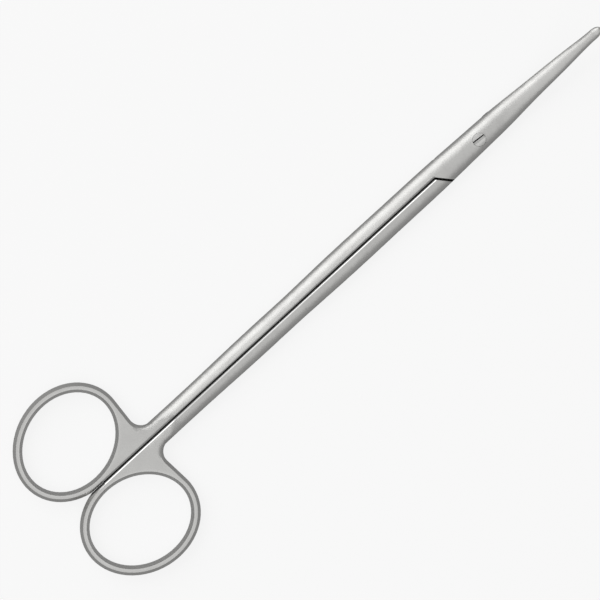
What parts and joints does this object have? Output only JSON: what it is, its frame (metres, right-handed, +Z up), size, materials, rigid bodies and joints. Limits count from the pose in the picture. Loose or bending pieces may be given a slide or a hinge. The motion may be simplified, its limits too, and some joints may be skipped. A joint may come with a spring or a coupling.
{
  "type": "dissecting scissors",
  "caption": "Long slender dissecting scissors with curved blunt-tipped blades, half-lap screw joint and oval finger rings.",
  "frame": {"origin": "middle of the closed scissors' underside", "axes": "+X towards the blade tips, +Y towards the finger ring of the front half, +Z up from the resting surface, the way the tips curve"},
  "size_m": [0.1799, 0.0522, 0.0103],
  "materials": {
    "steel": "satin",
    "screw_steel": "satin, ground flush with the joint"
  },
  "bodies": {
    "rear": {"rear_half": "steel", "pivot_screw": "screw_steel"},
    "front": {"front_half": "steel"}
  },
  "joints": [
    {"name": "pivot", "type": "hinge", "parent": "rear", "child": "front", "pos_m": [0.04969, -0.00035, 0.0021], "axis": [0, 0, -1], "range_deg": [0, 140]}
  ]
}
